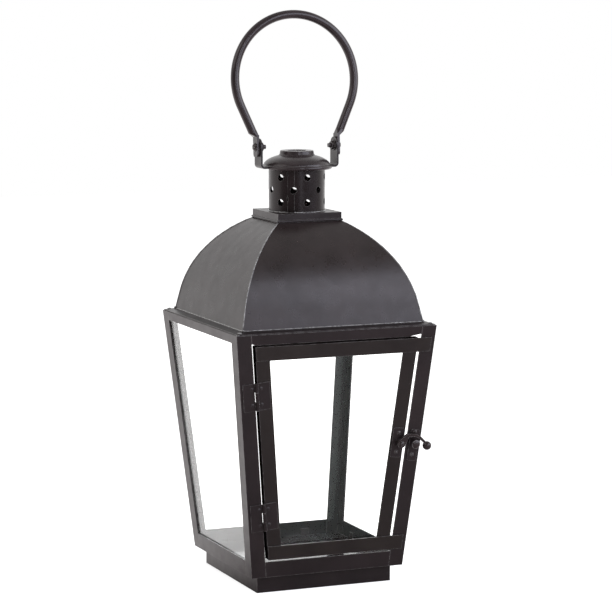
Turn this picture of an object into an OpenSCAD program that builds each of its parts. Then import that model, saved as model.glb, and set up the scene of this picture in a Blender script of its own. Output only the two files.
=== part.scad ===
// Square tapered candle lantern with a domed roof, a vented chimney, a carrying
// bail and a glazed door. Millimetres. The origin is the middle of the underside
// of the plinth, +Z is up and the door is on the -Y side.

/* [Cage] */
// Width of the cage at the top, outside
cage_top_w = 196; // [170:1:240]
// Width of the cage at the bottom, outside
cage_bottom_w = 150; // [130:1:165]
// Height of the cage
cage_h = 226.5; // [180:0.5:300]
// Thickness of the folded steel of the posts, rails, plinth and door
sheet_t = 1.2; // [1:0.1:1.6]
// Width of each leg of the corner angles
leg_w = 14; // [10:0.5:16]
// Height of the bottom rails
bottom_rail_h = 14.6; // [10:0.2:20]
// Height of the top rails at the sides and back
top_rail_h = 8; // [6:0.5:12]
// Height of the top rail over the door
front_rail_h = 9.4; // [7:0.2:12]
// Depth of the inward ledge of every rail
rail_ledge_w = 13; // [11:0.5:16]

/* [Plinth and floor] */
// Width of the plinth, outside
plinth_w = 133; // [112:1:138]
// Height of the plinth
plinth_h = 16; // [10:1:30]
// Depth of the plinth's inward flange
plinth_flange_w = 9; // [6:0.5:12]
// Thickness of the floor plate
floor_t = 1; // [0.8:0.1:2]

/* [Glass] */
// Thickness of the panes
glass_t = 2; // [1.6:0.1:2.4]
// Play round the edge of each pane
glass_play = 0.5; // [0.3:0.1:1]
// Length that a retaining lug of the fixed panes stands up
lug_h = 7; // [5:0.5:12]
// Width of a retaining lug or clip
lug_w = 8; // [5:0.5:12]
// Thickness of a retaining lug or clip
lug_t = 0.8; // [0.6:0.1:1]
// Reach of a door clip over its pane
clip_reach = 7; // [5:0.5:9]

/* [Door] */
// Gap between the door and each front post
door_gap_side = 2.9; // [2.9:0.1:5]
// Gap under the door
door_gap_bottom = 2.1; // [1:0.1:5]
// Gap over the door
door_gap_top = 1.4; // [1:0.1:5]
// Width of the door's stiles
door_stile_w = 13.4; // [11:0.1:16]
// Width of the door's rails
door_rail_w = 13; // [11:0.1:16]
// Depth of the folded edge of the door
door_depth = 7; // [4.2:0.1:8]
// Clearance between the door's lips and the post behind them
lip_clearance = 0.3; // [0.3:0.1:1]
// Distance from the lips' ends to the outer edge of the post
lip_setback = 4; // [2:0.5:8]

/* [Door hinges] */
// Length of each hinge
hinge_h = 25.4; // [20:0.2:32]
// Reach of each hinge leaf from the pin's axis
hinge_leaf_w = 13; // [10:0.5:13.5]
// Thickness of the hinge leaves
hinge_leaf_t = 0.8; // [0.6:0.1:1]
// Outer diameter of the hinge knuckles
knuckle_d = 3.2; // [2.8:0.1:3.2]
// Diameter of the hinge pins
hinge_pin_d = 1.6; // [1.2:0.1:1.8]
// Distance from the door's top edge to the middle of the upper hinge
hinge_top_inset = 46; // [20:1:60]
// Distance from the door's bottom edge to the middle of the lower hinge
hinge_bottom_inset = 41; // [20:1:60]
// Gap between neighbouring knuckles
knuckle_gap = 0.3; // [0.2:0.05:0.5]
// Distance from the hinge pin's axis to the rivets
rivet_reach = 4.2; // [4.2:0.1:9]
// Distance between the two rivets of a leaf
rivet_pitch = 15; // [10:1:18]
// Diameter of the rivet heads
rivet_head_d = 3.6; // [2.6:0.1:4]

/* [Latch] */
// Distance from the door's bottom edge to the latch pivot
latch_h = 101.7; // [80:1:120]
// Width of the latch plate on the door
latch_plate_w = 11.4; // [9:0.2:12]
// Height of the latch plate on the door
latch_plate_h = 28; // [24:1:36]
// Thickness of the latch plate and the keeper plate
latch_plate_t = 0.9; // [0.7:0.1:1.1]
// Width of the keeper plate on the post
keeper_plate_w = 9; // [8:0.5:12]
// Height of the keeper plate on the post
keeper_plate_h = 30; // [26:1:36]
// Distance from the door's edge to the latch pivot
latch_inset = 4.5; // [4.2:0.1:7]
// Distance from the door's edge to the keeper stud on the post
keeper_reach = 10; // [9:0.1:12]
// Distance between the two screws of the latch plate
latch_screw_pitch = 18; // [16:1:24]
// Distance between the two screws of the keeper plate
keeper_screw_pitch = 22; // [16:1:24]
// Diameter of the latch pivot pin
latch_pin_d = 3; // [2.4:0.1:4]
// Diameter of the neck of the keeper stud
keeper_neck_d = 3.2; // [2.6:0.1:4]
// Diameter of the head of the keeper stud
keeper_head_d = 8.2; // [7:0.1:10]
// Diameter of the lever's hub
lever_hub_d = 8; // [7:0.2:9]
// Thickness of the lever's arm
lever_t = 2.4; // [2:0.1:3]
// Diameter of the ball at the lever's end
lever_ball_d = 8.2; // [7:0.2:9]

/* [Roof] */
// Width of the roof at its foot, outside
roof_foot_w = 177; // [160:1:186]
// Height of the roof from its foot to the collar
roof_h = 89.6; // [80:0.2:100]
// Radius of the roof's curve
roof_curve_r = 105; // [95:1:130]
// Height of the straight skirt below the curve, along the slope
roof_skirt = 19; // [10:1:25]
// Thickness of the roof panels
roof_t = 1; // [0.8:0.1:1.5]
// Height of the base ring at the roof's foot
base_ring_h = 2.6; // [2:0.1:4]
// Height of the base ring's outer edge
base_ring_edge = 1; // [0.8:0.1:1.5]
// Setback of the base ring from the edge of the cage
base_ring_setback = 1; // [0.5:0.1:2]

/* [Chimney] */
// Width of the square collar
collar_w = 63.2; // [58:0.2:70]
// Height of the square collar
collar_h = 8.2; // [6:0.2:14]
// Diameter of the bead round the collar's foot
collar_bead_d = 2.2; // [1.6:0.1:3]
// Outer diameter of the chimney
chimney_d = 52.2; // [46:0.2:56]
// Height of the chimney
chimney_h = 39.8; // [34:0.2:60]
// Wall of the chimney
chimney_t = 0.8; // [0.6:0.1:1.5]
// Angle between neighbouring vent holes
vent_pitch = 57; // [50:1:60]
// Diameter of the vent holes
vent_d = 6.3; // [4:0.1:8]
// Number of vent holes in a row
vents_per_row = 6; // [4:1:6]
// Number of rows of vent holes
vent_rows = 3; // [1:1:3]
// Distance between rows of vent holes
vent_row_gap = 11.5; // [9:0.1:12]
// Height of the lowest row above the foot of the chimney
vent_first_row = 8.8; // [6:0.1:10]

/* [Cap] */
// Diameter over the cap's rolled rim
cap_d = 65.5; // [58:0.5:72]
// Diameter of the rolled rim's bead
cap_bead_d = 4; // [3.6:0.1:4.6]
// Height from the rim's foot to the foot of the button
cap_rise = 12.6; // [10:0.1:16]
// Depth of the notches in the rim that sit over the bail bracket
cap_notch = 3; // [2.2:0.1:3.2]
// Thickness of the cap
cap_t = 0.8; // [0.6:0.1:1.2]
// Diameter of the button at its foot
button_d = 34; // [26:0.5:38]
// Height of the button
button_h = 4.4; // [2:0.1:8]
// Diameter of the pressed recess in the button
recess_d = 17.6; // [10:0.2:20]
// Depth of the pressed recess in the button
recess_depth = 0.7; // [0.4:0.1:1]

/* [Bail] */
// Width over the ears of the bail bracket
bracket_span = 77.6; // [75:0.2:90]
// Width of the bracket's strap
bracket_w = 15.9; // [12:0.1:18]
// Thickness of the bracket's strap
bracket_t = 1.8; // [1.5:0.1:2.5]
// Height of the bail pivots above the underside of the bracket
pivot_rise = 19.8; // [16:0.2:30]
// Diameter of the bail's tube
bail_tube_d = 8; // [6:0.5:10]
// Radius of the bail's bow, to the middle of the tube
bail_r = 59.4; // [52:0.2:72]
// Height of the middle of the bow above the pivots
bail_rise = 62; // [58:0.5:90]
// Lean of the bail towards the back
bail_lean = 4; // [0:1:10]
// Thickness of the flattened ends of the bail
bail_flat_t = 2.3; // [2:0.1:3]
// Width of the flattened ends of the bail
bail_flat_w = 10; // [9:0.1:13]
// Diameter of the pivot bolts
bolt_d = 4; // [3:0.5:5]
// Diameter of the heads of the pivot bolts
bolt_head_d = 8; // [7:0.1:9]
// Size of the nuts across their flats
nut_w = 7; // [6:0.5:8]

/* [Fits] */
// Radial clearance of a pin in its bore
pin_play = 0.06; // [0.03:0.01:0.1]
// Clearance between faces that move past each other
slide_gap = 0.3; // [0.3:0.05:0.5]

/* [Hidden] */
$fn = 64;

// Colours
paint = "#2e2929";
paint_light = "#4a4543";
pane = [0.78, 0.87, 0.84, 0.45];

// The four faces, as turns about Z from the front
FRONT = 0;
RIGHT = 90;
BACK = 180;
LEFT = 270;

// Slanted faces: s runs up a face from the foot of the cage, n out of it
taper = atan((cage_top_w - cage_bottom_w) / 2 / cage_h);
slope_len = cage_h / cos(taper);
edge_tilt = atan(sin(taper));
far = 2 * (cage_h + cage_top_w);
over = 4;

// Levels
cage_z = plinth_h;
cage_top_z = cage_z + cage_h;
roof_z = cage_top_z + base_ring_h;
roof_top_z = roof_z + roof_h;
chimney_z = roof_top_z + collar_h;
bracket_z = chimney_z + chimney_h;
pivot_z = bracket_z + pivot_rise;

// Door, measured up the front face
door_s0 = bottom_rail_h + door_gap_bottom;
front_rail_s = slope_len - front_rail_h;
door_s1 = front_rail_s - door_gap_top;
door_inset = leg_w + door_gap_side;
door_n = lip_clearance;
door_front_n = door_n + sheet_t;
door_glass_n = door_n - sheet_t;
fold_relief = 0.05;

// Retaining lugs stand just inside the fixed panes, the floor plate inside the lugs
lug_n = -sheet_t - glass_t;
floor_play = 0.3;
floor_half_w = cage_bottom_w / 2 + lug_n - lug_t - floor_play;

// Hinges, measured along the gap beside the door's left edge
hinge_mid_u = leg_w + door_gap_side / 2;
knuckle_r = knuckle_d / 2;
// The knuckles sink a little way into the gap between post and door
knuckle_sink = 0.05;
pin_n = knuckle_r - knuckle_sink;
hinge_top_s = door_s1 - hinge_top_inset;
hinge_bottom_s = door_s0 + hinge_bottom_inset;
knuckle_h = (hinge_h - 2 * knuckle_gap) / 3;
knuckle_relief = 0.2;
rivet_shank_d = 2;
rivet_head_h = 0.5;

// Latch, measured along the door's right edge from the pivot
latch_s = door_s0 + latch_h;
latch_u = -latch_inset;
latch_plate_u = -door_stile_w / 2;
keeper_drop = 2;
plate_corner_r = 2;
screw_shank_d = 2.2;
screw_head_d = 4;
screw_head_h = 1;
screw_slot_w = 0.7;
pivot_head_d = latch_pin_d + 2.6;
lever_hub_n = door_n + latch_plate_t + slide_gap;
lever_arm_n = 3.8;
lever_top_n = lever_arm_n + lever_t;
head_n = lever_top_n + slide_gap;
head_h = 1.5;
// Middle and half-width of the lever's arm at each of its bends, from the pivot
lever_bends = [[0, 0, lever_hub_d / 2], [5.4, 8.1, 1.6], [13, 8.7, 1.2], [18.2, 6.4, 1.25], [25.2, 0.8, 1.2]];
lever_ball = [26.4, -1];
link_relief = 0.06;

// Roof curve: an arc through the roof's top edge, tangent to a straight skirt
roof_foot = [roof_foot_w / 2, roof_z];
roof_crown = [collar_w / 2, roof_top_z];
roof_chord = norm(roof_foot - roof_crown);
roof_dir = (roof_foot - roof_crown) / roof_chord;
roof_foot_r = norm([roof_curve_r, roof_skirt]);
roof_near = (pow(roof_curve_r, 2) - pow(roof_foot_r, 2) + pow(roof_chord, 2)) / (2 * roof_chord);
roof_off = sqrt(pow(roof_curve_r, 2) - pow(roof_near, 2));
roof_centre = roof_crown + roof_near * roof_dir + roof_off * [roof_dir[1], -roof_dir[0]];
roof_arm = roof_foot - roof_centre;
skirt_angle = atan2(roof_arm[1], roof_arm[0]) + atan(roof_skirt / roof_curve_r);
skirt_top = roof_centre + roof_curve_r * [cos(skirt_angle), sin(skirt_angle)];

// The base ring's ledge inside the roof's foot
base_ring_ledge = 3;

// Ledge of the collar's top inside the chimney
collar_lip = 2;
// Height of the collar's bead above the roof's top edge
bead_lift = 0.2;

// Cut-outs of the rail over the door, beside the left and the right post
left_relief = [3.5, 1.2];
right_relief = [13, 2];

// The first vent hole of the lowest row
vent_start = 41.5;

// Chimney seam
seam_angle = -131;
seam_lap = 14;
seam_t = 0.6;
seam_slot_w = 1;
seam_slot_h = 4;

// Cap
rim_z = bracket_z + bracket_t - cap_notch;
button_taper = 1.5;
// Shares of the button's taper and height that its hollow flank has at its waist
button_waist = [0.7, 0.3];
button_round = 0.4;
// How much of the dome's fall is straight, and the roundness of the rest
cap_cone = 0.45;
cap_power = 2.6;

// Bail
ear_r = bracket_w / 2;
bend_r = 2;
flat_x = bracket_span / 2 + slide_gap;
head_x = flat_x + bail_flat_t + slide_gap;
leg_foot_out = 2.9;
leg_foot_up = 10.2;
leg_foot = [flat_x + leg_foot_out, leg_foot_up];
tube_start = 14;
tube_slice = 0.6;
flat_top = 11;
flat_tail = 9;
flat_corner_r = 2.5;
squeeze_grip = [2, 1];
bow_centre = [0, bail_rise];
bow_gap = norm(leg_foot - bow_centre);
bow_end_angle = atan2(leg_foot[1] - bail_rise, leg_foot[0]) + acos(bail_r / bow_gap);
bow_end = bow_centre + bail_r * [cos(bow_end_angle), sin(bow_end_angle)];
leg_dir = (bow_end - leg_foot) / norm(bow_end - leg_foot);
tube_foot = leg_foot + (tube_start - leg_foot[1]) / leg_dir[1] * leg_dir;
leg_angle = atan2(leg_dir[0], leg_dir[1]);
// The straight legs are a hair thinner than the bow, so that they end on its faces
bail_leg_d = bail_tube_d - 0.04;
bolt_head_h = 2.4;
bolt_slot_w = 1;
bolt_slot_depth = 1.1;
washer_t = 0.8;
washer_d = 10;
nut_h = 2.2;
thread_end = 2.6;

// Half-width of a face at the distance s up it
function half_w(s) = cage_bottom_w / 2 + s * sin(taper);

// Distance up a face at which a point n out of it lies at height z above the cage's foot
function s_at(z, n) = (z + n * sin(taper)) / cos(taper);

// Places its children on a face: x along it, y up it, z out of it
module on_face(turn) {
    rotate([0, 0, turn])
    translate([0, -cage_bottom_w / 2, cage_z])
    rotate([90 + taper, 0, 0])
    children();
}

// Places its children in the gap beside the door's left edge, y along the edge
module on_hinge_edge(s) {
    on_face(FRONT)
    translate([-half_w(s) + hinge_mid_u, s, 0])
    rotate([0, 0, edge_tilt])
    children();
}

// Places its children at the door's right edge, level with the latch pivot
module on_latch_edge() {
    on_face(FRONT)
    translate([half_w(latch_s) - door_inset, latch_s, 0])
    rotate([0, 0, -edge_tilt])
    children();
}

// A plate between two distances from its plane
module plate(n0, n1) {
    translate([0, 0, n0])
    linear_extrude(n1 - n0)
    children();
}

// A strip along a face's left (-1) or right (1) edge
module edge_strip(side, inset0, inset1, s0, s1) {
    polygon([
        [side * (half_w(s0) - inset0), s0],
        [side * (half_w(s0) - inset1), s0],
        [side * (half_w(s1) - inset1), s1],
        [side * (half_w(s1) - inset0), s1]
    ]);
}

// A tapered panel across a face
module across(inset_left, inset_right, s0, s1) {
    polygon([
        [-half_w(s0) + inset_left, s0],
        [half_w(s0) - inset_right, s0],
        [half_w(s1) - inset_right, s1],
        [-half_w(s1) + inset_left, s1]
    ]);
}

// Everything on the inner side of a face
module inside_face(turn) {
    on_face(turn)
    translate([-far / 2, -far / 2, -far])
    cube(far);
}

// Everything between the foot and the top of the cage
module cage_slab() {
    translate([-far / 2, -far / 2, cage_z])
    cube([far, far, cage_h]);
}

// A square ring of sheet standing on its edge
module square_ring(outer_w, wall, h) {
    linear_extrude(h)
    difference() {
        square(outer_w, center = true);
        square(outer_w - 2 * wall, center = true);
    }
}

// A section drawn in (y, z), run along x
module along_x(length) {
    rotate([90, 0, 90])
    linear_extrude(length, center = true)
    children();
}

// The quarter of the plan on the +Y side, between the two hips
module hip_wedge() {
    linear_extrude(far)
    polygon([[0, 0], [far, far], [-far, far]]);
}

// A rectangle with rounded corners
module rounded_plate(w, h, r) {
    square([w - 2 * r, h], center = true);
    square([w, h - 2 * r], center = true);
    for (x = [-1, 1], y = [-1, 1])
        translate([x * (w / 2 - r), y * (h / 2 - r)])
        circle(r);
}

// The outline between two circles, bounded by lines a hair inside their outer tangents
module taper_link(a, b) {
    d = [b[0] - a[0], b[1] - a[1]];
    along = atan2(d[1], d[0]);
    swing = acos((a[2] - b[2]) / norm(d));
    polygon([
        for (end = [[a, 1], [a, -1], [b, -1], [b, 1]])
        let (r = end[0][2] - link_relief)
        [
            end[0][0] + r * cos(along + end[1] * swing),
            end[0][1] + r * sin(along + end[1] * swing)
        ]
    ]);
}

// A low domed head on a flat underside at z = 0
module domed_head(d, h) {
    dome_r = (pow(d / 2, 2) + pow(h, 2)) / (2 * h);
    intersection() {
        translate([0, 0, h - dome_r])
        sphere(dome_r, $fn = 96);
        cylinder(h = h, d = d);
    }
}

// ---- Plinth and floor ----

module plinth() {
    color(paint) {
        square_ring(plinth_w, sheet_t, plinth_h);
        translate([0, 0, plinth_h - sheet_t])
        square_ring(plinth_w, plinth_flange_w, sheet_t);
    }
}

module floor_plate() {
    color(paint_light)
    translate([0, 0, cage_z + sheet_t])
    linear_extrude(floor_t)
    square(2 * floor_half_w, center = true);
}

// ---- Cage ----

// The corner angle at the left edge of the face at this turn
module corner_post(turn) {
    intersection() {
        union() {
            on_face(turn)
            plate(-sheet_t, 0)
            edge_strip(-1, -over, leg_w, -over, slope_len + over);
            on_face(turn - 90)
            plate(-sheet_t, 0)
            edge_strip(1, -over, leg_w, -over, slope_len + over);
        }
        inside_face(turn);
        inside_face(turn - 90);
        cage_slab();
    }
}

module post_front_left() {
    color(paint)
    difference() {
        corner_post(FRONT);
        hinge_rivet_holes(-1);
    }
}

module post_front_right() {
    color(paint)
    difference() {
        corner_post(RIGHT);
        keeper_holes();
    }
}

module post_back_left() {
    color(paint)
    corner_post(LEFT);
}

module post_back_right() {
    color(paint)
    corner_post(BACK);
}

// The ledge of a rail, flat between the posts, its underside at height z
module rail_ledge(turn, face_half_w, z) {
    rotate([0, 0, turn])
    translate([-face_half_w + leg_w, -face_half_w + sheet_t / 2, z])
    cube([2 * (face_half_w - leg_w), rail_ledge_w - sheet_t / 2, sheet_t]);
}

module bottom_rail(turn) {
    color(paint)
    union() {
        intersection() {
            on_face(turn)
            plate(-sheet_t, 0)
            across(leg_w, leg_w, -over, bottom_rail_h);
            cage_slab();
        }
        rail_ledge(turn, cage_bottom_w / 2, cage_z);
    }
}

// Where the rail over the door is cut away beside a post; size is length and height
module rail_relief(side, size) {
    edge = half_w(front_rail_s) - leg_w;
    polygon([
        [side * (edge - size[0]), front_rail_s - over],
        [side * (edge - size[0]), front_rail_s],
        [side * edge, front_rail_s + size[1]],
        [side * (edge + over), front_rail_s + size[1]],
        [side * (edge + over), front_rail_s - over]
    ]);
}

module front_rail_face() {
    difference() {
        across(leg_w, leg_w, front_rail_s, slope_len + over);
        rail_relief(-1, left_relief);
        rail_relief(1, right_relief);
    }
}

module top_rail(turn) {
    color(paint)
    union() {
        intersection() {
            on_face(turn)
            plate(-sheet_t, 0)
            if (turn == FRONT)
                front_rail_face();
            else
                across(leg_w, leg_w, slope_len - top_rail_h, slope_len + over);
            cage_slab();
        }
        rail_ledge(turn, cage_top_w / 2 - sheet_t * tan(taper), cage_top_z - sheet_t);
    }
}

// ---- Fixed panes ----

pane_s0 = s_at(sheet_t, -sheet_t) + glass_play;
pane_s1 = s_at(cage_h - sheet_t, lug_n) - glass_play;
pane_inset = sheet_t + glass_t + glass_play;

module fixed_pane(turn) {
    color(pane)
    on_face(turn)
    plate(lug_n, -sheet_t)
    across(pane_inset, pane_inset, pane_s0, pane_s1);
}

// Lugs that stand on the bottom ledge or hang from the top ledge, inside the pane
module pane_lugs(turn) {
    low = s_at(sheet_t, lug_n);
    high = s_at(cage_h - sheet_t, lug_n - lug_t);
    color(paint_light)
    on_face(turn)
    plate(lug_n - lug_t, lug_n)
    for (side = [-1, 1]) {
        translate([side * half_w(0) / 2 - lug_w / 2, low])
        square([lug_w, lug_h]);
        translate([side * half_w(slope_len) / 2 - lug_w / 2, high - lug_h])
        square([lug_w, lug_h]);
    }
}

// ---- Door ----

// A stile: a face strip with a folded outer edge; side is -1 at the hinges
module door_stile(side) {
    s0 = door_s0 + sheet_t;
    s1 = door_s1 - sheet_t;
    on_face(FRONT) {
        plate(door_n - sheet_t, door_n)
        edge_strip(side, door_inset, door_inset + door_stile_w, s0, s1);
        plate(door_n - door_depth, door_n)
        edge_strip(side, door_inset, door_inset + sheet_t, s0, s1);
    }
}

module door_stile_left() {
    color(paint)
    difference() {
        door_stile(-1);
        hinge_rivet_holes(1);
    }
}

module door_stile_right() {
    color(paint)
    difference() {
        door_stile(1);
        latch_holes();
    }
}

// A rail over the stiles: a face strip from s0 to s1 that runs on as a lip over
// the right post, and a folded edge at edge_s, a hair shorter than the strip
module door_rail(s0, s1, edge_s) {
    fold_inset = door_inset + fold_relief;
    on_face(FRONT) {
        plate(door_n, door_front_n)
        across(door_inset, lip_setback, s0, s1);
        plate(door_n - door_depth, door_front_n - sheet_t / 2)
        across(fold_inset, fold_inset, edge_s + fold_relief, edge_s + sheet_t - fold_relief);
    }
}

module door_rail_top() {
    color(paint)
    door_rail(door_s1 - door_rail_w, door_s1, door_s1 - sheet_t);
}

module door_rail_bottom() {
    color(paint)
    door_rail(door_s0, door_s0 + door_rail_w, door_s0);
}

module door_glass() {
    edge = sheet_t + glass_play;
    color(pane)
    on_face(FRONT)
    plate(door_glass_n - glass_t, door_glass_n)
    across(door_inset + edge, door_inset + edge, door_s0 + edge, door_s1 - edge);
}

// Clips from the stiles' folded edges over the back of the door's pane
module door_glass_clips() {
    clip_n = door_glass_n - glass_t;
    edge = door_inset + sheet_t;
    color(paint_light)
    on_face(FRONT)
    plate(clip_n - lug_t, clip_n)
    for (side = [-1, 1], s = [hinge_bottom_s, hinge_top_s])
        edge_strip(side, edge, edge + clip_reach, s - lug_w / 2, s + lug_w / 2);
}

// ---- Hinges ----

// One knuckle about the pin's axis, its middle at v along the edge
module knuckle(v) {
    translate([0, v + knuckle_h / 2, pin_n])
    rotate([90, 0, 0])
    cylinder(h = knuckle_h, d = knuckle_d);
}

// A leaf on one side of the pin, with knuckles at the given places
module hinge_leaf(side, n0, knuckles) {
    plate_w = hinge_leaf_w - knuckle_r - slide_gap;
    difference() {
        union() {
            plate(n0, n0 + hinge_leaf_t) {
                translate([side * (hinge_leaf_w - plate_w / 2), 0])
                square([plate_w, hinge_h], center = true);
                for (v = knuckles)
                    translate([side * hinge_leaf_w / 4, v])
                    square([hinge_leaf_w / 2, knuckle_h - 2 * knuckle_relief], center = true);
            }
            for (v = knuckles)
                knuckle(v);
        }
        translate([0, hinge_h, pin_n])
        rotate([90, 0, 0])
        cylinder(h = 2 * hinge_h, d = hinge_pin_d + 2 * pin_play);
        for (v = [-1, 1])
            translate([side * rivet_reach, v * rivet_pitch / 2, -over])
            cylinder(h = 2 * over, d = rivet_shank_d + 2 * pin_play);
    }
}

module post_leaf(s) {
    step = knuckle_h + knuckle_gap;
    color(paint)
    on_hinge_edge(s)
    hinge_leaf(-1, 0, [-step, step]);
}

module door_leaf(s) {
    color(paint)
    on_hinge_edge(s)
    hinge_leaf(1, door_n, [0]);
}

module hinge_pins() {
    color(paint_light)
    for (s = [hinge_bottom_s, hinge_top_s])
        on_hinge_edge(s)
        translate([0, hinge_h / 2, pin_n])
        rotate([90, 0, 0])
        cylinder(h = hinge_h, d = hinge_pin_d);
}

// Places its children at each rivet on the post's side (-1) or the door's side (1)
module at_rivets(side) {
    for (s = [hinge_bottom_s, hinge_top_s], v = [-1, 1])
        on_hinge_edge(s)
        translate([side * rivet_reach, v * rivet_pitch / 2, 0])
        children();
}

module hinge_rivet_holes(side) {
    at_rivets(side)
    translate([0, 0, -over])
    cylinder(h = 2 * over, d = rivet_shank_d + 2 * pin_play);
}

module hinge_rivets(side, n0, back_n) {
    color(paint_light)
    at_rivets(side) {
        translate([0, 0, n0 + hinge_leaf_t])
        domed_head(rivet_head_d, rivet_head_h);
        translate([0, 0, back_n])
        cylinder(h = n0 + hinge_leaf_t - back_n, d = rivet_shank_d);
    }
}

module hinge_post_rivets() {
    hinge_rivets(-1, 0, -sheet_t);
}

module hinge_door_rivets() {
    hinge_rivets(1, door_n, door_n - sheet_t);
}

// ---- Latch ----

// Places its children at the two screws of a plate, pitch apart
module at_pair(u, pitch) {
    for (v = [-1, 1])
        translate([u, v * pitch / 2, 0])
        children();
}

module screw_hole(d) {
    translate([0, 0, -2 * over])
    cylinder(h = 4 * over, d = d + 2 * pin_play);
}

module latch_holes() {
    on_latch_edge() {
        at_pair(latch_plate_u, latch_screw_pitch)
        screw_hole(screw_shank_d);
        translate([latch_u, 0, 0])
        screw_hole(latch_pin_d);
    }
}

module keeper_holes() {
    on_latch_edge() {
        at_pair(keeper_reach, keeper_screw_pitch)
        screw_hole(screw_shank_d);
        translate([keeper_reach, 0, 0])
        screw_hole(keeper_neck_d);
    }
}

module latch_plate() {
    color(paint)
    difference() {
        on_latch_edge()
        plate(door_n, door_n + latch_plate_t)
        translate([latch_plate_u, 0])
        rounded_plate(latch_plate_w, latch_plate_h, plate_corner_r);
        latch_holes();
    }
}

module keeper_plate() {
    color(paint)
    difference() {
        on_latch_edge()
        plate(0, latch_plate_t)
        translate([keeper_reach, -keeper_drop])
        rounded_plate(keeper_plate_w, keeper_plate_h, plate_corner_r);
        keeper_holes();
    }
}

// Two domed slotted screws through a plate whose outer face is at n1
module plate_screws(u, pitch, n0, n1) {
    color(paint_light)
    on_latch_edge()
    at_pair(u, pitch) {
        translate([0, 0, n0])
        cylinder(h = n1 - n0, d = screw_shank_d);
        difference() {
            translate([0, 0, n1])
            domed_head(screw_head_d, screw_head_h);
            translate([0, 0, n1 + screw_head_h])
            cube([screw_head_d, screw_slot_w, screw_head_h], center = true);
        }
    }
}

module latch_plate_screws() {
    plate_screws(latch_plate_u, latch_screw_pitch, door_n - sheet_t, door_n + latch_plate_t);
}

module keeper_screws() {
    plate_screws(keeper_reach, keeper_screw_pitch, -sheet_t, latch_plate_t);
}

// The rivet that carries the lever, with a dimpled head
module latch_pivot() {
    color(paint_light)
    on_latch_edge()
    translate([latch_u, 0, 0])
    difference() {
        union() {
            translate([0, 0, door_n - sheet_t])
            cylinder(h = head_n - door_n + sheet_t, d = latch_pin_d);
            translate([0, 0, head_n])
            domed_head(pivot_head_d, head_h);
        }
        translate([0, 0, head_n + head_h / 2])
        cylinder(h = head_h, d = latch_pin_d / 2);
    }
}

// The lever: a hub, a swan-neck arm and a ball
module latch_lever() {
    color(paint)
    on_latch_edge()
    translate([latch_u, 0, 0])
    difference() {
        union() {
            plate(lever_hub_n, lever_top_n)
            circle(d = lever_hub_d);
            plate(lever_arm_n, lever_top_n)
            for (i = [1 : len(lever_bends) - 1]) {
                taper_link(lever_bends[i - 1], lever_bends[i]);
                translate([lever_bends[i][0], lever_bends[i][1]])
                circle(lever_bends[i][2]);
            }
            translate([lever_ball[0], lever_ball[1], lever_arm_n + lever_t / 2])
            sphere(d = lever_ball_d);
        }
        screw_hole(latch_pin_d);
    }
}

// The stud that the lever drops behind: a neck and a wide domed head
module keeper_stud() {
    color(paint_light)
    on_latch_edge()
    translate([keeper_reach, 0, 0]) {
        translate([0, 0, -sheet_t])
        cylinder(h = head_n + sheet_t, d = keeper_neck_d);
        translate([0, 0, head_n])
        domed_head(keeper_head_d, head_h);
    }
}

// ---- Roof ----

module roof_base_ring() {
    outer = cage_top_w / 2 - base_ring_setback;
    inner = roof_foot_w / 2 - base_ring_ledge;
    color(paint)
    for (turn = [FRONT, RIGHT, BACK, LEFT])
        rotate([0, 0, turn])
        intersection() {
            along_x(cage_top_w)
            polygon([
                [inner, cage_top_z],
                [outer, cage_top_z],
                [outer, cage_top_z + base_ring_edge],
                [roof_foot_w / 2, roof_z],
                [inner, roof_z]
            ]);
            hip_wedge();
        }
}

// Section of the sheet: the straight skirt and the arc above it
module roof_section() {
    reach = 2 * roof_curve_r;
    intersection() {
        union() {
            intersection() {
                translate(roof_centre)
                difference() {
                    circle(roof_curve_r, $fn = 240);
                    circle(roof_curve_r - roof_t, $fn = 240);
                }
                polygon([
                    roof_centre,
                    roof_centre + reach * [cos(skirt_angle), sin(skirt_angle)],
                    roof_centre + reach * [cos(45), 1],
                    roof_centre + [0, reach]
                ]);
            }
            translate(skirt_top)
            rotate(skirt_angle)
            translate([-roof_t, -2 * roof_skirt])
            square([roof_t, 2 * roof_skirt]);
        }
        translate([0, roof_z])
        square([roof_foot_w, roof_h]);
    }
}

module roof_panel(turn) {
    color(paint)
    rotate([0, 0, turn + 180])
    intersection() {
        along_x(roof_foot_w)
        roof_section();
        hip_wedge();
    }
}

module roof_collar() {
    half = collar_w / 2;
    bead_z = roof_top_z + collar_bead_d / 2 + bead_lift;
    color(paint) {
        difference() {
            translate([0, 0, roof_top_z])
            linear_extrude(collar_h)
            square(collar_w, center = true);
            translate([0, 0, roof_top_z - sheet_t])
            linear_extrude(collar_h)
            square(collar_w - 2 * sheet_t, center = true);
            translate([0, 0, roof_top_z])
            cylinder(h = 2 * collar_h, r = chimney_d / 2 - collar_lip);
        }
        for (turn = [FRONT, RIGHT, BACK, LEFT])
            rotate([0, 0, turn])
            intersection() {
                translate([0, half, bead_z])
                rotate([0, 90, 0])
                cylinder(h = 2 * collar_w, d = collar_bead_d, center = true);
                hip_wedge();
            }
    }
}

// ---- Chimney ----

// A wall round the Z axis between two angles
module curved_wall(r_in, t, h, start, sweep) {
    rotate([0, 0, start])
    rotate_extrude(angle = sweep)
    translate([r_in, 0])
    square([t, h]);
}

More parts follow.
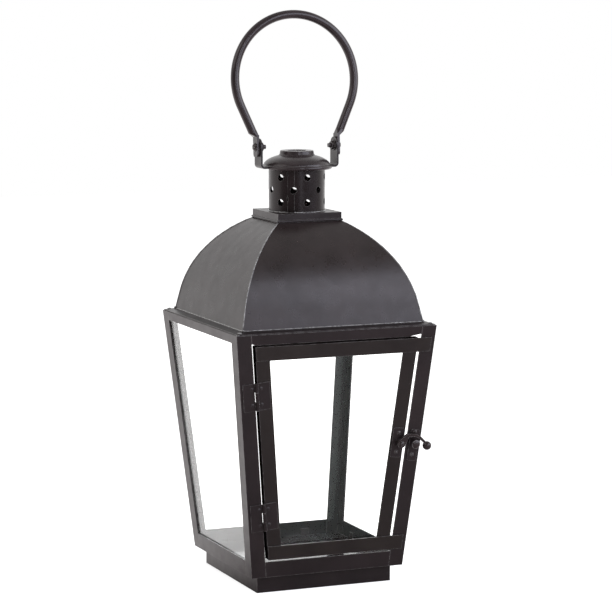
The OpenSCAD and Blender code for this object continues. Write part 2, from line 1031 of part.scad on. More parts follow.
module chimney() {
    r = chimney_d / 2;
    color(paint)
    translate([0, 0, chimney_z])
    difference() {
        union() {
            difference() {
                cylinder(h = chimney_h, r = r);
                translate([0, 0, -over])
                cylinder(h = chimney_h + 2 * over, r = r - chimney_t);
            }
            curved_wall(r - chimney_t / 2, seam_t + chimney_t / 2, chimney_h, seam_angle, seam_lap);
        }
        for (row = [0 : vent_rows - 1], i = [0 : vents_per_row - 1])
            rotate([0, 0, vent_start + (i + (row % 2) / 2) * vent_pitch])
            translate([r / 2, 0, vent_first_row + row * vent_row_gap])
            rotate([0, 90, 0])
            cylinder(h = r, d = vent_d);
        for (row = [0 : 2 : vent_rows - 1])
            rotate([0, 0, seam_angle])
            translate([r / 2, -seam_slot_w / 2, vent_first_row + row * vent_row_gap + vent_d / 4])
            cube([r, seam_slot_w, seam_slot_h]);
    }
}

// The cap: a rolled rim notched over the bracket, a shallow dome, a button and a
// pressed recess
module chimney_cap() {
    color(paint)
    difference() {
        cap_shell();
        translate([0, 0, rim_z])
        cube([2 * cap_d, bracket_w + 2 * slide_gap, 2 * cap_notch], center = true);
    }
}

module cap_shell() {
    rim_r = cap_d / 2 - cap_bead_d / 2;
    foot_r = button_d / 2;
    top_r = foot_r - button_taper;
    button_z = cap_rise + button_h;
    recess_z = button_z - recess_depth;
    dome_fall = cap_rise - cap_bead_d;
    dome_run = rim_r - foot_r;
    dome_steps = 14;
    outer = [
        for (i = [0 : dome_steps])
        let (x = cos(90 * i / dome_steps))
        let (curl = 1 - sqrt(1 - pow(x, cap_power)))
        [foot_r + dome_run * x, cap_rise - dome_fall * (cap_cone * x + (1 - cap_cone) * curl)]
    ];
    inner = [for (p = outer) [p[0], p[1] - cap_t]];
    translate([0, 0, rim_z])
    rotate_extrude($fn = 96) {
        translate([rim_r, cap_bead_d / 2])
        circle(d = cap_bead_d, $fn = 32);
        polygon(concat(
            outer,
            [
                [foot_r - button_waist[0] * button_taper, cap_rise + button_waist[1] * button_h],
                [top_r, button_z - button_round],
                [top_r - button_round, button_z],
                [recess_d / 2, button_z],
                [recess_d / 2, recess_z],
                [0, recess_z],
                [0, recess_z - cap_t],
                [top_r - cap_t, recess_z - cap_t],
                [foot_r - cap_t, cap_rise - cap_t]
            ],
            [for (i = [dome_steps : -1 : 0]) inner[i]]
        ));
    }
}

// ---- Bail ----

// The strap under the cap, turned up at both ends into ears
module bail_bracket() {
    half = bracket_span / 2;
    corner = bend_r + bracket_t;
    color(paint)
    translate([0, 0, bracket_z])
    difference() {
        union() {
            rotate([90, 0, 0])
            linear_extrude(bracket_w, center = true) {
                translate([-half + corner, 0])
                square([2 * (half - corner), bracket_t]);
                for (side = [-1, 1]) {
                    intersection() {
                        translate([side * (half - corner), corner])
                        difference() {
                            circle(corner);
                            circle(bend_r);
                        }
                        translate([side * (half - corner / 2), corner / 2])
                        square(corner, center = true);
                    }
                    translate([side * (half - bracket_t / 2), (corner + pivot_rise) / 2])
                    square([bracket_t, pivot_rise - corner], center = true);
                }
            }
            for (side = [-1, 1])
                translate([side * (half - bracket_t / 2), 0, pivot_rise])
                rotate([0, 90, 0])
                cylinder(h = bracket_t, r = ear_r, center = true);
        }
        translate([0, 0, pivot_rise])
        rotate([0, 90, 0])
        cylinder(h = 2 * bracket_span, d = bolt_d + 2 * pin_play, center = true);
    }
}

// A flattened end on the pivot's axis, at the origin, its inner face at x = flat_x
module bail_end() {
    translate([flat_x, 0, 0])
    rotate([90, 0, 90])
    linear_extrude(bail_flat_t)
    difference() {
        union() {
            translate([-bail_flat_w / 2, -flat_tail + flat_corner_r])
            square([bail_flat_w, flat_tail - flat_corner_r + flat_top]);
            translate([-bail_flat_w / 2 + flat_corner_r, -flat_tail])
            square([bail_flat_w - 2 * flat_corner_r, 2 * flat_corner_r]);
            for (side = [-1, 1])
                translate([side * (bail_flat_w / 2 - flat_corner_r), -flat_tail + flat_corner_r])
                circle(flat_corner_r);
        }
        circle(d = bolt_d + 2 * pin_play);
    }
}

// Where the round tube is squeezed into the flat end
module bail_squeeze() {
    hull() {
        translate([flat_x, -bail_flat_w / 2, flat_top - squeeze_grip[0]])
        cube([bail_flat_t, bail_flat_w, squeeze_grip[1]]);
        translate([tube_foot[0], 0, tube_foot[1]])
        rotate([0, leg_angle, 0])
        cylinder(h = tube_slice, d = bail_tube_d, $fn = 32);
    }
}

module bail() {
    sweep = 180 - 2 * bow_end_angle;
    color(paint)
    translate([0, 0, pivot_z])
    rotate([-bail_lean, 0, 0]) {
        translate([0, 0, bail_rise])
        rotate([90, 0, 0])
        rotate([0, 0, bow_end_angle])
        rotate_extrude(angle = sweep)
        translate([bail_r, 0])
        circle(d = bail_tube_d);
        for (side = [0, 1])
            mirror([side, 0, 0]) {
                bail_end();
                bail_squeeze();
                translate([tube_foot[0], 0, tube_foot[1]])
                rotate([0, leg_angle, 0])
                cylinder(h = norm(bow_end - tube_foot), d = bail_leg_d);
            }
    }
}

// Places its children at each pivot, x pointing outwards from the lantern
module at_pivots() {
    for (side = [0, 1])
        translate([0, 0, pivot_z])
        mirror([side, 0, 0])
        children();
}

module bail_bolts() {
    nut_end = bracket_span / 2 - bracket_t - washer_t - nut_h - thread_end;
    color(paint_light)
    at_pivots() {
        translate([nut_end, 0, 0])
        rotate([0, 90, 0])
        cylinder(h = head_x - nut_end, d = bolt_d);
        difference() {
            translate([head_x, 0, 0])
            rotate([0, 90, 0])
            domed_head(bolt_head_d, bolt_head_h);
            translate([head_x + bolt_head_h, 0, 0])
            cube([2 * bolt_slot_depth, 2 * bolt_head_d, bolt_slot_w], center = true);
        }
    }
}

module bail_washers() {
    color(paint_light)
    at_pivots()
    translate([bracket_span / 2 - bracket_t - washer_t, 0, 0])
    rotate([0, 90, 0])
    difference() {
        cylinder(h = washer_t, d = washer_d);
        translate([0, 0, -washer_t])
        cylinder(h = 3 * washer_t, d = bolt_d + 2 * pin_play);
    }
}

module bail_nuts() {
    color(paint_light)
    at_pivots()
    translate([bracket_span / 2 - bracket_t - washer_t - nut_h, 0, 0])
    rotate([0, 90, 0])
    difference() {
        cylinder(h = nut_h, d = nut_w / cos(30), $fn = 6);
        translate([0, 0, -nut_h])
        cylinder(h = 3 * nut_h, d = bolt_d + 2 * pin_play);
    }
}

plinth();
floor_plate();
post_front_left();
post_front_right();
post_back_left();
post_back_right();
bottom_rail(FRONT);  // bottom_rail_front
bottom_rail(RIGHT);  // bottom_rail_right
bottom_rail(BACK);  // bottom_rail_back
bottom_rail(LEFT);  // bottom_rail_left
top_rail(FRONT);  // top_rail_front
top_rail(RIGHT);  // top_rail_right
top_rail(BACK);  // top_rail_back
top_rail(LEFT);  // top_rail_left
fixed_pane(RIGHT);  // glass_right
fixed_pane(BACK);  // glass_back
fixed_pane(LEFT);  // glass_left
pane_lugs(RIGHT);  // glass_lugs_right
pane_lugs(BACK);  // glass_lugs_back
pane_lugs(LEFT);  // glass_lugs_left
door_stile_left();
door_stile_right();
door_rail_top();
door_rail_bottom();
door_glass();
door_glass_clips();
post_leaf(hinge_top_s);  // hinge_upper_post_leaf
post_leaf(hinge_bottom_s);  // hinge_lower_post_leaf
door_leaf(hinge_top_s);  // hinge_upper_door_leaf
door_leaf(hinge_bottom_s);  // hinge_lower_door_leaf
hinge_pins();
hinge_post_rivets();
hinge_door_rivets();
latch_plate();
latch_plate_screws();
latch_pivot();
latch_lever();
keeper_plate();
keeper_screws();
keeper_stud();
roof_base_ring();
roof_panel(FRONT);  // roof_front
roof_panel(RIGHT);  // roof_right
roof_panel(BACK);  // roof_back
roof_panel(LEFT);  // roof_left
roof_collar();
chimney();
chimney_cap();
bail_bracket();
bail();
bail_bolts();
bail_washers();
bail_nuts();
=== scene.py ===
"""Candle lantern: materials, small details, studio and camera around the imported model.

Lengths are in metres in the model's own frame: +Z up, the door towards -Y.
"""
import math
import random

import bmesh
import bpy
from mathutils import Matrix, Vector


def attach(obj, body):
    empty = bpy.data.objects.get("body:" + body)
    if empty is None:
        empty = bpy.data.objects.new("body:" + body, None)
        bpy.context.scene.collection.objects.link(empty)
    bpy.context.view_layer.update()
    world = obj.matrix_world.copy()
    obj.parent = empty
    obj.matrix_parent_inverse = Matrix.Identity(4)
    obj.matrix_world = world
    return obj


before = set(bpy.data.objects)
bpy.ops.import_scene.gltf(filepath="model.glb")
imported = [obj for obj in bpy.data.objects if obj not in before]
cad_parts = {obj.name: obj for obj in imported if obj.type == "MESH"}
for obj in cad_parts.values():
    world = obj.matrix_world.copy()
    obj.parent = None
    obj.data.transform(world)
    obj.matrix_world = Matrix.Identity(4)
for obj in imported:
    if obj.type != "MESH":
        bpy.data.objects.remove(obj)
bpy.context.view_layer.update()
scene = bpy.context.scene

MM = 0.001
SEED = 7

# Camera, from a fit to the photograph
PHOTO_SIZE = 612
FOCAL_PIXELS = 2600.5
PRINCIPAL_X = 296.8
CAMERA_DISTANCE = 2426.8 * MM
CAMERA_AZIMUTH = math.radians(22.36)
CAMERA_ELEVATION = math.radians(7.40)
CAMERA_TARGET = Vector((0, 0, 253.1 * MM))
SENSOR_WIDTH = 36

# Sizes of the CAD model that the details follow
CAGE_FOOT_Z = 16 * MM
CAGE_TOP_Z = 242.5 * MM
CAGE_TOP_HALF = 98 * MM
PLINTH_HALF = 66.5 * MM
ROOF_FOOT_Z = 245.1 * MM
ROOF_FOOT_HALF = 88.5 * MM
ROOF_TOP_Z = 334.7 * MM
ROOF_CURVE_R = 105 * MM
ROOF_SKIRT = 19 * MM
COLLAR_HALF = 31.6 * MM
COLLAR_TOP_Z = 342.9 * MM
CHIMNEY_R = 26.1 * MM
RING_MIDDLE_Z = 244.2 * MM

# Roundings and solder
EDGE_ROUNDING = 0.3 * MM
COLLAR_ROUNDING = 0.9 * MM
ROUNDING_ANGLE = math.radians(35)
# Width of the lighter edge band: partly rubbed paint, partly a painted highlight along the edges
WEAR_AND_GLINT_RADIUS = 0.9 * MM
HIP_BEAD_R = 0.55 * MM
FOOT_BEAD_R = 0.5 * MM
CHIMNEY_BEAD_R = 0.45 * MM
HIP_DROP = (1.5 * MM, 1.5 * MM, 1.2 * MM)
TOP_DROP = (1.7 * MM, 1.7 * MM, 1.1 * MM)
RING_DROP = (2.2 * MM, 2.2 * MM, 0.8 * MM)
PLINTH_DROP = (1.1 * MM, 1.1 * MM, 1.0 * MM)
TOP_DROP_INSET = 2.1 * MM
RING_DROP_HALF = 93 * MM

# Colours, as linear light
STEEL_DARK = (0.0090, 0.0058, 0.0062)
STEEL_LIGHT = (0.0170, 0.0112, 0.0118)
DOOR_DARK = (0.0085, 0.0060, 0.0050)
DOOR_LIGHT = (0.0160, 0.0118, 0.0096)
ROOF_DARK = (0.0150, 0.0100, 0.0098)
ROOF_LIGHT = (0.0270, 0.0190, 0.0186)
HANDLE_DARK = (0.0200, 0.0140, 0.0148)
HANDLE_LIGHT = (0.0360, 0.0262, 0.0275)
SHEEN = (1.0, 0.94, 0.935)
# Lighter edge colour: partly rubbed paint, partly a painted highlight standing in for edge reflections
WORN_AND_GLINT = (0.230, 0.215, 0.210)
DUST = (0.090, 0.080, 0.074)
# Painted shade: near-black colour for the door's sideways faces, standing in for the shade in the rebate
REBATE_PAINTED_SHADE = (0.006, 0.005, 0.005)
# Solder colours, far lighter than the paint: a painted highlight along the seams and weld drops
SOLDER_GLINT_DARK = (0.080, 0.072, 0.070)
SOLDER_GLINT_LIGHT = (0.330, 0.315, 0.310)
GLASS_TINT = (0.982, 0.996, 0.990, 1)
GLASS_SHEEN = (0.38, 0.44, 0.42, 1)
SHADOW_TINT = (0.93, 0.96, 0.945, 1)
FLOOR_PALE = (0.80, 0.80, 0.80)
FLOOR_MIRRORED = (0.42, 0.36, 0.36)

# Strengths and shares, with 1 as white or whole
DUST_SHARE = 0.25
FLOOR_GLOW = 0.75
SKY_BEHIND = 1.05
SKY_IN_FRONT = 0.15
SKY_OVERHEAD = 0.50
SKY_DIFFUSE = 0.60
GLASS_IOR = 1.45


# ---- Node helpers ----


def new_material(name):
    """An empty node material with its output."""
    material = bpy.data.materials.new(name)
    material.use_nodes = True
    tree = material.node_tree
    tree.nodes.clear()
    output = tree.nodes.new("ShaderNodeOutputMaterial")
    return material, tree, output


def link(tree, source, target):
    tree.links.new(source, target)


def feed(tree, socket, value):
    """Sets a socket to a number or colour, or links it to another socket."""
    if isinstance(value, (int, float)):
        socket.default_value = value
    elif isinstance(value, tuple):
        socket.default_value = (*value[:3], 1) if len(socket.default_value) == 4 else value
    else:
        link(tree, value, socket)


def ramp(tree, factor, stops):
    """A colour ramp from [(position, colour)], driven by a socket."""
    node = tree.nodes.new("ShaderNodeValToRGB")
    elements = node.color_ramp.elements
    while len(elements) < len(stops):
        elements.new(0.5)
    for element, (position, colour) in zip(elements, stops):
        element.position = position
        element.color = (*colour, 1)
    link(tree, factor, node.inputs["Fac"])
    return node.outputs["Color"]


def spread(tree, value, low, high, to_low=0.0, to_high=1.0):
    """Maps the range from low to high onto another range, clamped."""
    node = tree.nodes.new("ShaderNodeMapRange")
    node.interpolation_type = "SMOOTHSTEP"
    link(tree, value, node.inputs["Value"])
    node.inputs["From Min"].default_value = low
    node.inputs["From Max"].default_value = high
    node.inputs["To Min"].default_value = to_low
    node.inputs["To Max"].default_value = to_high
    return node.outputs["Result"]


def noise(tree, vector, scale, detail=4, roughness=0.5, seed=0, stretch=(1, 1, 1)):
    """Noise at this many features per metre, finer along the stretched axes."""
    place = tree.nodes.new("ShaderNodeMapping")
    place.inputs["Location"].default_value = (seed * 0.37, seed * 0.73, seed * 0.19)
    place.inputs["Scale"].default_value = stretch
    link(tree, vector, place.inputs["Vector"])
    node = tree.nodes.new("ShaderNodeTexNoise")
    node.inputs["Scale"].default_value = scale
    node.inputs["Detail"].default_value = detail
    node.inputs["Roughness"].default_value = roughness
    link(tree, place.outputs[0], node.inputs["Vector"])
    return node.outputs["Fac"]


def calc(tree, operation, a, b):
    node = tree.nodes.new("ShaderNodeMath")
    node.operation = operation
    feed(tree, node.inputs[0], a)
    feed(tree, node.inputs[1], b)
    return node.outputs[0]


def blend(tree, factor, a, b):
    """Mixes two colours."""
    node = tree.nodes.new("ShaderNodeMix")
    node.data_type = "RGBA"
    for name, value in (("Factor", factor), ("A", a), ("B", b)):
        socket = [s for s in node.inputs if s.name == name and s.enabled][0]
        feed(tree, socket, value)
    return [s for s in node.outputs if s.enabled][0]


def dot(tree, a, b):
    """The dot product of two vectors, or of a vector and a fixed direction."""
    node = tree.nodes.new("ShaderNodeVectorMath")
    node.operation = "DOT_PRODUCT"
    link(tree, a, node.inputs[0])
    feed(tree, node.inputs[1], b)
    return node.outputs["Value"]


def edge_mask(tree, radius, low, high):
    """Near 1 on sharp edges: how far a rounded normal turns from the true one."""
    bevel = tree.nodes.new("ShaderNodeBevel")
    bevel.samples = 6
    bevel.inputs["Radius"].default_value = radius
    geometry = tree.nodes.new("ShaderNodeNewGeometry")
    turned = calc(tree, "SUBTRACT", 1.0, dot(tree, bevel.outputs[0], geometry.outputs["Normal"]))
    return spread(tree, turned, low, high)


def sideways_mask(tree):
    """Near 1 on faces that look along X, such as the sides of the door's rebate, where painted shade
    goes.
    """
    geometry = tree.nodes.new("ShaderNodeNewGeometry")
    along_x = dot(tree, geometry.outputs["Normal"], (1.0, 0.0, 0.0))
    return spread(tree, calc(tree, "ABSOLUTE", along_x, 0.0), 0.75, 0.90)


def bump(tree, height, strength, distance, under=None):
    node = tree.nodes.new("ShaderNodeBump")
    node.inputs["Strength"].default_value = strength
    node.inputs["Distance"].default_value = distance
    link(tree, height, node.inputs["Height"])
    if under is not None:
        link(tree, under, node.inputs["Normal"])
    return node.outputs[0]


# ---- Materials ----


def painted_steel(
    name, dark, light, rough, wear_and_glint, streaks=0.0, seed=0, specular=0.5, painted_shade_sides=False
):
    """Satin lacquer on sheet steel: cloudy colour, dust, lighter edges (rubbed paint and painted
    highlight), orange peel, waves.
    """
    material, tree, output = new_material(name)
    where = tree.nodes.new("ShaderNodeTexCoord").outputs["Object"]
    shader = tree.nodes.new("ShaderNodeBsdfPrincipled")

    clouds = noise(tree, where, 26, detail=5, roughness=0.6, seed=seed)
    base = ramp(tree, clouds, [(0.34, dark), (0.68, light)])
    specks = noise(tree, where, 1500, detail=3, roughness=0.7, seed=seed + 1)
    dust = calc(tree, "MULTIPLY", spread(tree, specks, 0.60, 0.82), DUST_SHARE)
    base = blend(tree, dust, base, DUST)
    flakes = noise(tree, where, 260, detail=6, roughness=0.75, seed=seed + 2)
    chips = spread(tree, flakes, 0.36, 0.60)
    # Lighter edges: partly rubbed paint, partly a painted highlight standing in for the edges'
    # reflections.
    rubbed_and_glint = calc(tree, "MULTIPLY", edge_mask(tree, WEAR_AND_GLINT_RADIUS, 0.02, 0.16), chips)
    rubbed_and_glint = calc(tree, "MULTIPLY", rubbed_and_glint, wear_and_glint)
    base = blend(tree, rubbed_and_glint, base, WORN_AND_GLINT)
    shader.inputs["Specular IOR Level"].default_value = specular
    # Painted shade: faces along X turn dark and lose their reflection, standing in for the shade in the
    # door's rebate.
    if painted_shade_sides:
        side_shade = sideways_mask(tree)
        base = blend(tree, side_shade, base, REBATE_PAINTED_SHADE)
        matt = spread(tree, side_shade, 0.0, 1.0, specular, 0.0)
        link(tree, matt, shader.inputs["Specular IOR Level"])
    link(tree, base, shader.inputs["Base Color"])

    smears = noise(tree, where, 70, detail=6, roughness=0.65, seed=seed + 3)
    scratches = noise(tree, where, 30, detail=4, roughness=0.7, seed=seed + 4, stretch=(1, 1, 40))
    shine = spread(tree, smears, 0.25, 0.75, rough - 0.05, rough + 0.06)
    marks = calc(tree, "MULTIPLY", spread(tree, scratches, 0.62, 0.74), 0.05 + 0.10 * streaks)
    shine = calc(tree, "ADD", shine, marks)
    link(tree, shine, shader.inputs["Roughness"])
    shader.inputs["Specular Tint"].default_value = (*SHEEN, 1)

    peel = bump(tree, noise(tree, where, 1100, detail=2, seed=seed + 5), 0.10, 0.05 * MM)
    lines = bump(tree, scratches, 0.04 + 0.08 * streaks, 0.10 * MM, peel)
    waves = bump(tree, noise(tree, where, 18, detail=1, seed=seed + 6), 0.25, 0.5 * MM, lines)
    link(tree, waves, shader.inputs["Normal"])
    link(tree, shader.outputs[0], output.inputs["Surface"])
    return material


def solder(name, seed):
    """Painted-over solder: lumpy and a little shinier than the sheet; its light grey colour is a painted
    highlight along the seams.
    """
    material, tree, output = new_material(name)
    where = tree.nodes.new("ShaderNodeTexCoord").outputs["Object"]
    shader = tree.nodes.new("ShaderNodeBsdfPrincipled")
    clouds = noise(tree, where, 240, detail=5, roughness=0.6, seed=seed)
    base = ramp(tree, clouds, [(0.34, SOLDER_GLINT_DARK), (0.62, SOLDER_GLINT_LIGHT)])
    link(tree, base, shader.inputs["Base Color"])
    link(tree, spread(tree, clouds, 0.3, 0.7, 0.18, 0.30), shader.inputs["Roughness"])
    shader.inputs["Coat Weight"].default_value = 0.6
    shader.inputs["Coat Roughness"].default_value = 0.15
    lumps = bump(tree, noise(tree, where, 700, detail=3, seed=seed + 1), 0.35, 0.15 * MM)
    link(tree, lumps, shader.inputs["Normal"])
    link(tree, shader.outputs[0], output.inputs["Surface"])
    return material


def clear_glass(name):
    """Clear, slightly green sheet glass. It mirrors less than real glass and lets lamp light through."""
    material, tree, output = new_material(name)
    where = tree.nodes.new("ShaderNodeTexCoord").outputs["Object"]
    shader = tree.nodes.new("ShaderNodeBsdfPrincipled")
    shader.inputs["Base Color"].default_value = GLASS_TINT
    shader.inputs["Transmission Weight"].default_value = 1.0
    shader.inputs["IOR"].default_value = GLASS_IOR
    shader.inputs["Specular Tint"].default_value = GLASS_SHEEN
    smears = noise(tree, where, 35, detail=6, roughness=0.6, seed=3)
    link(tree, spread(tree, smears, 0.62, 0.85, 0.0, 0.003), shader.inputs["Roughness"])
    ripple = bump(tree, noise(tree, where, 12, detail=1, seed=5), 0.06, 0.2 * MM)
    link(tree, ripple, shader.inputs["Normal"])
    clear = tree.nodes.new("ShaderNodeBsdfTransparent")
    clear.inputs["Color"].default_value = SHADOW_TINT
    path = tree.nodes.new("ShaderNodeLightPath")
    mix = tree.nodes.new("ShaderNodeMixShader")
    link(tree, path.outputs["Is Shadow Ray"], mix.inputs["Fac"])
    link(tree, shader.outputs[0], mix.inputs[1])
    link(tree, clear.outputs[0], mix.inputs[2])
    link(tree, mix.outputs[0], output.inputs["Surface"])
    return material


def pale_floor(name):
    """A pale matt floor that shows as white, keeps the shadow and is darker in reflections in front."""
    material, tree, output = new_material(name)
    where = tree.nodes.new("ShaderNodeTexCoord").outputs["Object"]
    matt = tree.nodes.new("ShaderNodeBsdfDiffuse")
    path = tree.nodes.new("ShaderNodeLightPath")
    colour = blend(tree, path.outputs["Is Glossy Ray"], FLOOR_PALE, FLOOR_MIRRORED)
    link(tree, colour, matt.inputs["Color"])
    split = tree.nodes.new("ShaderNodeSeparateXYZ")
    link(tree, where, split.inputs[0])
    seen = calc(tree, "MAXIMUM", path.outputs["Is Camera Ray"], path.outputs["Is Transmission Ray"])
    behind = spread(tree, split.outputs["Y"], -0.10, 0.15, 0.0, 1.0)
    mirrored = calc(tree, "MULTIPLY", path.outputs["Is Glossy Ray"], behind)
    glow = tree.nodes.new("ShaderNodeEmission")
    strength = calc(tree, "ADD", calc(tree, "MULTIPLY", seen, FLOOR_GLOW), mirrored)
    link(tree, strength, glow.inputs["Strength"])
    both = tree.nodes.new("ShaderNodeAddShader")
    link(tree, matt.outputs[0], both.inputs[0])
    link(tree, glow.outputs[0], both.inputs[1])
    link(tree, both.outputs[0], output.inputs["Surface"])
    return material


STEEL = painted_steel("dark_painted_steel", STEEL_DARK, STEEL_LIGHT, 0.33, 0.75)
ROOF_STEEL = painted_steel(
    "roof_painted_steel", ROOF_DARK, ROOF_LIGHT, 0.30, 0.9, streaks=1.0, seed=9
)
FLOOR_STEEL = painted_steel(
    "floor_plate_steel", STEEL_DARK, STEEL_LIGHT, 0.13, 0.3, seed=6, specular=0.18
)
BAIL_STEEL = painted_steel("bail_steel", HANDLE_DARK, HANDLE_LIGHT, 0.18, 0.4, seed=8)
CAP_STEEL = painted_steel("cap_steel", HANDLE_DARK, HANDLE_LIGHT, 0.28, 0.6, seed=15)
RIVET_STEEL = painted_steel("rivet_steel", STEEL_DARK, STEEL_LIGHT, 0.36, 0.1, seed=11)
DOOR_STEEL = painted_steel(
    "door_steel", DOOR_DARK, DOOR_LIGHT, 0.33, 0.75, seed=2, painted_shade_sides=True
)
CHIMNEY_STEEL = painted_steel(
    "chimney_steel", STEEL_DARK, STEEL_LIGHT, 0.24, 0.6, seed=13, specular=0.36
)
# Hardware edges get the lighter edge colour in full: rubbed paint and painted highlight.
HARDWARE = painted_steel("worn_glinting_hardware", ROOF_DARK, ROOF_LIGHT, 0.24, 1.0, seed=4)
SOLDER = solder("painted_solder", 12)
GLASS = clear_glass("clear_glass")


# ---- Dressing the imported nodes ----

PANES = ("glass_right", "glass_back", "glass_left", "door_glass")
ROOF_NODES = ("roof_front", "roof_right", "roof_back", "roof_left")
RIVET_NODES = ("hinge_post_rivets", "hinge_door_rivets")
DOOR_NODES = ("door_stile_left", "door_stile_right", "door_rail_top", "door_rail_bottom")
HARDWARE_NODES = (
    "hinge_pins",
    "latch_plate_screws",
    "latch_pivot",
    "latch_lever",
    "keeper_screws",
    "keeper_stud",
    "bail_bolts",
    "bail_nuts",
    "bail_washers",
)


def material_for(node):
    if node in PANES:
        return GLASS
    if node in ROOF_NODES:
        return ROOF_STEEL
    if node in DOOR_NODES:
        return DOOR_STEEL
    if node == "chimney":
        return CHIMNEY_STEEL
    if node in RIVET_NODES:
        return RIVET_STEEL
    if node == "chimney_cap":
        return CAP_STEEL
    if node == "bail":
        return BAIL_STEEL
    if node == "floor_plate":
        return FLOOR_STEEL
    if node in HARDWARE_NODES:
        return HARDWARE
    return STEEL


def dress(node, thing):
    """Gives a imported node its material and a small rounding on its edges."""
    thing.data.materials.clear()
    thing.data.materials.append(material_for(node))
    bevel = thing.modifiers.new("rounding", "BEVEL")
    bevel.width = COLLAR_ROUNDING if node == "roof_collar" else EDGE_ROUNDING
    bevel.segments = 2
    bevel.limit_method = "ANGLE"
    bevel.angle_limit = ROUNDING_ANGLE
    bevel.harden_normals = True


for node_name, node_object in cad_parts.items():
    dress(node_name, node_object)


# ---- Details that the CAD model leaves out ----


def finish_piece(name, mesh_builder, material):
    """Turns a bmesh into a smooth object that rides on the lantern."""
    mesh = bpy.data.meshes.new(name)
    mesh_builder.to_mesh(mesh)
    mesh_builder.free()
    mesh.materials.append(material)
    for polygon in mesh.polygons:
        polygon.use_smooth = True
    thing = bpy.data.objects.new(name, mesh)
    scene.collection.objects.link(thing)
    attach(thing, "lantern")
    return thing


def add_bead(work, points, radius, unevenness, dice, sides=8):
    """A closed round bead through the points, its radius wandering a little."""
    rings = []
    last = len(points) - 1
    for index, point in enumerate(points):
        ahead = points[min(index + 1, last)] - points[max(index - 1, 0)]
        turn = ahead.to_track_quat("Z", "Y").to_matrix()
        size = radius * (1 + unevenness * dice.uniform(-1, 1))
        if index in (0, last):
            size *= 0.5
        ring = []
        for side in range(sides):
            angle = 2 * math.pi * side / sides
            offset = turn @ Vector((size * math.cos(angle), size * math.sin(angle), 0))
            ring.append(work.verts.new(point + offset))
        rings.append(ring)
    for lower, upper in zip(rings, rings[1:]):
        for side in range(sides):
            next_side = (side + 1) % sides
            work.faces.new((lower[side], lower[next_side], upper[next_side], upper[side]))
    work.faces.new(reversed(rings[0]))
    work.faces.new(rings[-1])


def add_lump(work, centre, size, dice):
    """A lumpy drop of solder, size being its half-width, half-depth and half-height."""
    made = bmesh.ops.create_icosphere(work, subdivisions=2, radius=1)
    for vertex in made["verts"]:
        swell = 1 + dice.uniform(-0.12, 0.12)
        vertex.co = Vector([swell * part * scale for part, scale in zip(vertex.co, size)]) + centre


def roof_profile(steps):
    """Half-width and height of the roof's outside, from its foot to the collar."""
    foot = Vector((ROOF_FOOT_HALF, ROOF_FOOT_Z))
    crown = Vector((COLLAR_HALF, ROOF_TOP_Z))
    chord = (foot - crown).length
    along = (foot - crown) / chord
    foot_r = math.hypot(ROOF_CURVE_R, ROOF_SKIRT)
    near = (ROOF_CURVE_R**2 - foot_r**2 + chord**2) / (2 * chord)
    off = math.sqrt(ROOF_CURVE_R**2 - near**2)
    centre = crown + near * along + off * Vector((along.y, -along.x))
    arm = foot - centre
    start = math.atan2(arm.y, arm.x) + math.atan(ROOF_SKIRT / ROOF_CURVE_R)
    end = math.atan2(crown.y - centre.y, crown.x - centre.x)
    skirt_top = centre + ROOF_CURVE_R * Vector((math.cos(start), math.sin(start)))
    profile = [foot.lerp(skirt_top, step / 6) for step in range(6)]
    for step in range(steps + 1):
        angle = start + (end - start) * step / steps
        profile.append(centre + ROOF_CURVE_R * Vector((math.cos(angle), math.sin(angle))))
    return profile


def build_hip_seams(dice):
    """Soldered seams down the four hips of the roof, with a drop at each foot."""
    work = bmesh.new()
    profile = roof_profile(40)
    for across, along in ((-1, -1), (1, -1), (1, 1), (-1, 1)):
        points = [Vector((across * p.x, along * p.x, p.y)) for p in profile]
        add_bead(work, points, HIP_BEAD_R, 0.22, dice)
        foot = Vector((across * ROOF_FOOT_HALF, along * ROOF_FOOT_HALF, ROOF_FOOT_Z + 0.6 * MM))
        add_lump(work, foot, HIP_DROP, dice)
    return finish_piece("roof_hip_seams", work, SOLDER)


def build_foot_seam(dice):
    """The soldered seam between the roof's foot and the base ring."""
    work = bmesh.new()
    steps = 60
    for turn in range(4):
        spin = Matrix.Rotation(turn * math.pi / 2, 3, "Z")
        points = []
        for step in range(steps + 1):
            x = ROOF_FOOT_HALF * (2 * step / steps - 1)
            points.append(spin @ Vector((x, -ROOF_FOOT_HALF, ROOF_FOOT_Z + 0.1 * MM)))
        add_bead(work, points, FOOT_BEAD_R, 0.12, dice)
    return finish_piece("roof_foot_seam", work, SOLDER)


def build_corner_welds(dice):
    """Drops of weld on the cage's top corners, the roof's base ring and the plinth's corners."""
    work = bmesh.new()
    top_half = CAGE_TOP_HALF - TOP_DROP_INSET
    for across, along in ((-1, -1), (1, -1), (1, 1), (-1, 1)):
        top = Vector((across * top_half, along * top_half, CAGE_TOP_Z))
        add_lump(work, top, TOP_DROP, dice)
        inner = Vector((across * RING_DROP_HALF, along * RING_DROP_HALF, RING_MIDDLE_Z))
        add_lump(work, inner, RING_DROP, dice)
        foot = Vector((across * PLINTH_HALF, along * PLINTH_HALF, CAGE_FOOT_Z - 0.4 * MM))
        add_lump(work, foot, PLINTH_DROP, dice)
    return finish_piece("corner_welds", work, SOLDER)


def build_collar_seam(dice):
    """A fine soldered fillet round the foot of the chimney."""
    work = bmesh.new()
    steps = 96
    radius = CHIMNEY_R + 0.15 * MM
    height = COLLAR_TOP_Z + 0.1 * MM
    points = []
    for step in range(steps + 1):
        angle = 2 * math.pi * step / steps
        points.append(Vector((radius * math.cos(angle), radius * math.sin(angle), height)))
    add_bead(work, points, CHIMNEY_BEAD_R, 0.15, dice)
    return finish_piece("chimney_foot_seam", work, SOLDER)


dice = random.Random(SEED)
build_hip_seams(dice)
build_foot_seam(dice)
build_corner_welds(dice)
build_collar_seam(dice)


# ---- Studio ----


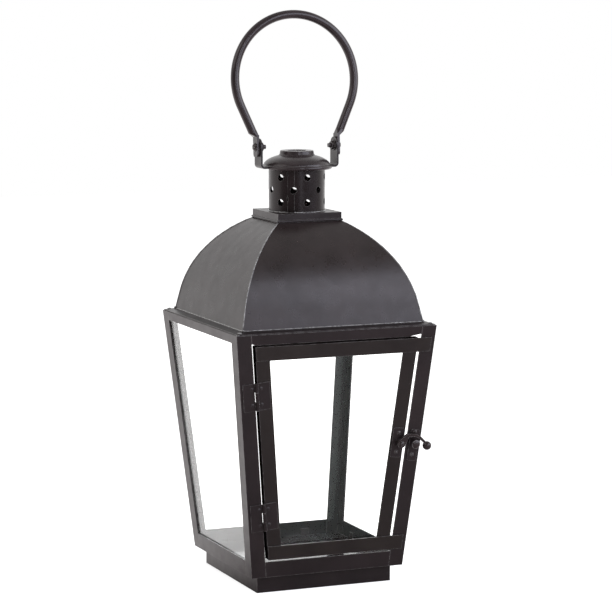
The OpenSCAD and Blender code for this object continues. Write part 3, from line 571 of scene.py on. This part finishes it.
def build_floor():
    """A wide flat floor under the lantern."""
    half = 4
    mesh = bpy.data.meshes.new("floor")
    corners = [(-half, -half, 0), (half, -half, 0), (half, half, 0), (-half, half, 0)]
    mesh.from_pydata(corners, [], [(0, 1, 2, 3)])
    mesh.materials.append(pale_floor("pale_floor"))
    thing = bpy.data.objects.new("floor", mesh)
    scene.collection.objects.link(thing)


def area_light(name, width, height, azimuth, elevation, distance, power, colour):
    """A soft box that faces the lantern. The azimuth is in degrees from +X."""
    data = bpy.data.lights.new(name, "AREA")
    data.shape = "RECTANGLE"
    data.size = width
    data.size_y = height
    data.energy = power
    data.color = colour
    thing = bpy.data.objects.new(name, data)
    turn = math.radians(azimuth)
    rise = math.radians(elevation)
    level = math.cos(rise)
    away = Vector((math.cos(turn) * level, math.sin(turn) * level, math.sin(rise)))
    thing.location = CAMERA_TARGET + distance * away
    thing.rotation_euler = (-away).to_track_quat("-Z", "Y").to_euler()
    scene.collection.objects.link(thing)


def build_world():
    """White behind the lantern, and dimmer on the camera's side and overhead in reflections."""
    world = bpy.data.worlds.new("studio")
    scene.world = world
    world.use_nodes = True
    tree = world.node_tree
    tree.nodes.clear()
    output = tree.nodes.new("ShaderNodeOutputWorld")
    path = tree.nodes.new("ShaderNodeLightPath")
    where = tree.nodes.new("ShaderNodeTexCoord").outputs["Generated"]
    split = tree.nodes.new("ShaderNodeSeparateXYZ")
    link(tree, where, split.inputs[0])
    front = (-math.sin(CAMERA_AZIMUTH), -math.cos(CAMERA_AZIMUTH), 0.0)
    side = spread(tree, dot(tree, where, front), -0.15, 0.70, SKY_BEHIND, SKY_IN_FRONT)
    top = spread(tree, split.outputs["Z"], 0.45, 0.90, 1.0, SKY_OVERHEAD)
    mirrored = calc(tree, "MULTIPLY", side, top)
    seen = calc(tree, "MAXIMUM", path.outputs["Is Camera Ray"], path.outputs["Is Transmission Ray"])
    glossy = calc(tree, "MULTIPLY", path.outputs["Is Glossy Ray"], mirrored)
    other = calc(tree, "SUBTRACT", 1.0, calc(tree, "MAXIMUM", seen, path.outputs["Is Glossy Ray"]))
    strength = calc(tree, "ADD", seen, glossy)
    strength = calc(tree, "ADD", strength, calc(tree, "MULTIPLY", other, SKY_DIFFUSE))
    sky = tree.nodes.new("ShaderNodeBackground")
    sky.inputs["Color"].default_value = (1, 1, 1, 1)
    link(tree, strength, sky.inputs["Strength"])
    link(tree, sky.outputs[0], output.inputs["Surface"])


def build_camera():
    data = bpy.data.cameras.new("camera")
    data.sensor_width = SENSOR_WIDTH
    data.lens = FOCAL_PIXELS / PHOTO_SIZE * SENSOR_WIDTH
    data.shift_x = (PHOTO_SIZE / 2 - PRINCIPAL_X) / PHOTO_SIZE
    data.clip_end = 30
    thing = bpy.data.objects.new("camera", data)
    away = Vector(
        (
            -math.sin(CAMERA_AZIMUTH) * math.cos(CAMERA_ELEVATION),
            -math.cos(CAMERA_AZIMUTH) * math.cos(CAMERA_ELEVATION),
            math.sin(CAMERA_ELEVATION),
        )
    )
    thing.location = CAMERA_TARGET + CAMERA_DISTANCE * away
    thing.rotation_euler = (-away).to_track_quat("-Z", "Y").to_euler()
    scene.collection.objects.link(thing)
    scene.camera = thing


build_floor()
area_light("front_box", 1.5, 1.1, -48, 23, 1.7, 16.0, (0.80, 0.86, 1.0))
area_light("front_strip", 0.30, 1.0, -94, 16, 1.9, 4.5, (0.84, 0.89, 1.0))
area_light("left_box", 1.2, 1.2, 190, 35, 2.2, 6.0, (1.0, 0.99, 0.97))
build_world()
build_camera()
scene.view_settings.view_transform = "Standard"
